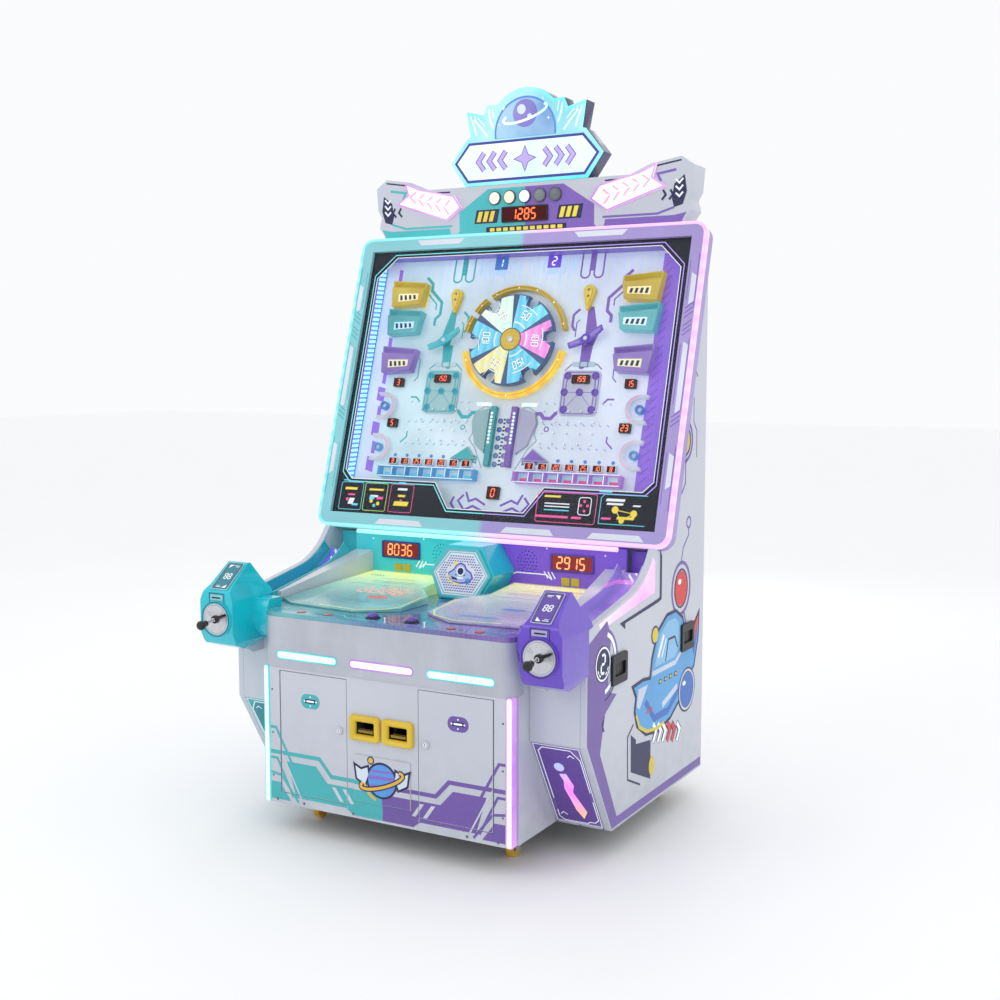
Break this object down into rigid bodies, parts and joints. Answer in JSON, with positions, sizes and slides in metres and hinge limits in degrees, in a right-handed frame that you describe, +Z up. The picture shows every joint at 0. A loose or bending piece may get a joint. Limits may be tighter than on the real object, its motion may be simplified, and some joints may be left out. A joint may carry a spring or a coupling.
{
  "type": "two-player ball shooter prize machine",
  "caption": "Arcade cabinet with a tilted glazed playfield, prize wheel, crank-operated ball shooters, console, service doors and casters.",
  "frame": {"origin": "centre of the footprint box, on the floor", "axes": "+Z up, -Y towards the players, +X to the right-hand shooter seen from the players"},
  "size_m": [1.368, 1.2669, 2.452],
  "materials": {
    "frame_steel": "black powder coat",
    "panel_white": "satin laminate with printed graphics",
    "insert_glow": "translucent lit acrylic",
    "black_plastic": "fine texture",
    "rear_steel": "satin powder coat",
    "apron_white": "moulded, satin gloss",
    "light_white": "lit diffuser",
    "yellow_plastic": "moulded gloss",
    "deck_print": "printed acrylic over board",
    "tray_print": "printed, edge lit",
    "clear": "clear acrylic",
    "red_lens": "lit lens",
    "button_purple": "gloss",
    "teal_shell": "gloss paint",
    "purple_shell": "gloss paint",
    "hex_print": "printed acrylic",
    "led_red": "seven-segment display behind red filter",
    "steel": "turned and brushed",
    "chrome": "polished",
    "frame_print": "printed border",
    "board_print": "printed board, lit",
    "wheel_print": "printed disc, lit",
    "guide_mix": "moulded guides",
    "bumper_white": "moulded",
    "pocket_blue": "moulded",
    "sign_navy": "lit face on navy body",
    "speaker_black": "paper cone in a steel basket"
  },
  "bodies": {
    "cabinet": {"base_frame": "frame_steel", "side_left": "panel_white", "side_right": "panel_white", "side_inserts": "insert_glow", "side_grips": "black_plastic", "rear_wall": "rear_steel", "roof_panel": "panel_white", "power_inlet": "black_plastic", "front_box": "panel_white", "apron": "apron_white", "light_bars": "light_white", "lower_plate": "panel_white", "ticket_bezels": "yellow_plastic", "ticket_units": "steel", "wing_panels": "panel_white", "wing_lights": "insert_glow", "console_deck": "deck_print", "table_trays": "tray_print", "table_covers": "clear", "deck_fittings": "red_lens", "hex_housing": "teal_shell", "hex_panel": "hex_print", "console_back": "purple_shell", "score_displays": "led_red", "speakers": "speaker_black", "ball_rails": "purple_shell", "gun_left": "teal_shell", "gun_right": "purple_shell", "gun_displays": "purple_shell", "dial_plates": "steel", "play_board": "board_print", "board_walls": "purple_shell", "wheel_motor": "frame_steel", "field_guides": "guide_mix", "board_displays": "led_red", "side_pockets": "yellow_plastic", "bumpers": "bumper_white", "pocket_rows": "pocket_blue", "header": "panel_white", "header_lights": "light_white", "sign": "sign_navy", "forks_rear": "chrome"},
    "service_door": {"rear_door": "rear_steel"},
    "cabinet_door_left": {"door_left": "panel_white"},
    "cabinet_door_right": {"door_right": "panel_white"},
    "field_frame": {"play_frame": "frame_print", "play_glass": "clear"},
    "wheel": {"prize_wheel": "wheel_print"},
    "swing_arm_left": {"arm_left": "teal_shell"},
    "swing_arm_right": {"arm_right": "purple_shell"},
    "crank_l": {"crank_left": "black_plastic"},
    "crank_r": {"crank_right": "black_plastic"},
    "push_l": {"button_left": "button_purple"},
    "push_r": {"button_right": "button_purple"},
    "caster_fl": {"fork_left": "chrome"},
    "caster_fr": {"fork_right": "chrome"},
    "roll_fl": {"wheel_fl": "yellow_plastic"},
    "roll_fr": {"wheel_fr": "yellow_plastic"},
    "roll_rl": {"wheel_rl": "yellow_plastic"},
    "roll_rr": {"wheel_rr": "yellow_plastic"}
  },
  "joints": [
    {"name": "service_door_hinge", "type": "hinge", "parent": "cabinet", "child": "service_door", "pos_m": [-0.54, 0.5675, 0.88], "axis": [0, 0, 1], "range_deg": [0, 105]},
    {"name": "left_door_hinge", "type": "hinge", "parent": "cabinet", "child": "cabinet_door_left", "pos_m": [-0.378, -0.4645, 0.327], "axis": [0, 0, -1], "range_deg": [0, 100]},
    {"name": "right_door_hinge", "type": "hinge", "parent": "cabinet", "child": "cabinet_door_right", "pos_m": [0.378, -0.4645, 0.327], "axis": [0, 0, 1], "range_deg": [0, 100]},
    {"name": "field_frame_hinge", "type": "hinge", "parent": "cabinet", "child": "field_frame", "pos_m": [-0.664, 0.33933, 1.41909], "axis": [0, -0.2924, -0.9563], "range_deg": [0, 95]},
    {"name": "prize_wheel_spin", "type": "hinge", "parent": "cabinet", "child": "wheel", "pos_m": [0, 0.34589, 1.57393], "axis": [0, -0.9563, 0.2924], "continuous": true},
    {"name": "swing_arm_left_pivot", "type": "hinge", "parent": "cabinet", "child": "swing_arm_left", "pos_m": [-0.282, 0.35118, 1.57755], "axis": [0, -0.9563, 0.2924], "range_deg": [-20, 20]},
    {"name": "swing_arm_right_pivot", "type": "hinge", "parent": "cabinet", "child": "swing_arm_right", "pos_m": [0.282, 0.35118, 1.57755], "axis": [0, -0.9563, 0.2924], "range_deg": [-20, 20]},
    {"name": "crank_left_turn", "type": "hinge", "parent": "cabinet", "child": "crank_l", "pos_m": [-0.579, -0.56, 0.684], "axis": [0, -1, 0], "range_deg": [-60, 60], "stiffness_Nm_per_rad": 0.4},
    {"name": "crank_right_turn", "type": "hinge", "parent": "cabinet", "child": "crank_r", "pos_m": [0.579, -0.56, 0.684], "axis": [0, -1, 0], "range_deg": [-60, 60], "stiffness_Nm_per_rad": 0.4},
    {"name": "button_left_press", "type": "slide", "parent": "cabinet", "child": "push_l", "axis": [0, 0, -1], "range_m": [0, 0.004], "stiffness_N_per_m": 400, "springref_m": -0.004},
    {"name": "button_right_press", "type": "slide", "parent": "cabinet", "child": "push_r", "axis": [0, 0, -1], "range_m": [0, 0.004], "stiffness_N_per_m": 400, "springref_m": -0.004},
    {"name": "caster_fl_swivel", "type": "hinge", "parent": "cabinet", "child": "caster_fl", "pos_m": [-0.362, -0.28, 0.089], "axis": [0, 0, 1], "continuous": true},
    {"name": "wheel_fl_roll", "type": "hinge", "parent": "caster_fl", "child": "roll_fl", "pos_m": [-0.362, -0.3045, 0.03], "axis": [1, 0, 0], "continuous": true},
    {"name": "caster_fr_swivel", "type": "hinge", "parent": "cabinet", "child": "caster_fr", "pos_m": [0.362, -0.28, 0.089], "axis": [0, 0, 1], "continuous": true},
    {"name": "wheel_fr_roll", "type": "hinge", "parent": "caster_fr", "child": "roll_fr", "pos_m": [0.362, -0.3045, 0.03], "axis": [1, 0, 0], "continuous": true},
    {"name": "wheel_rl_roll", "type": "hinge", "parent": "cabinet", "child": "roll_rl", "pos_m": [-0.52, 0.45, 0.03], "axis": [1, 0, 0], "continuous": true},
    {"name": "wheel_rr_roll", "type": "hinge", "parent": "cabinet", "child": "roll_rr", "pos_m": [0.52, 0.45, 0.03], "axis": [1, 0, 0], "continuous": true}
  ]
}
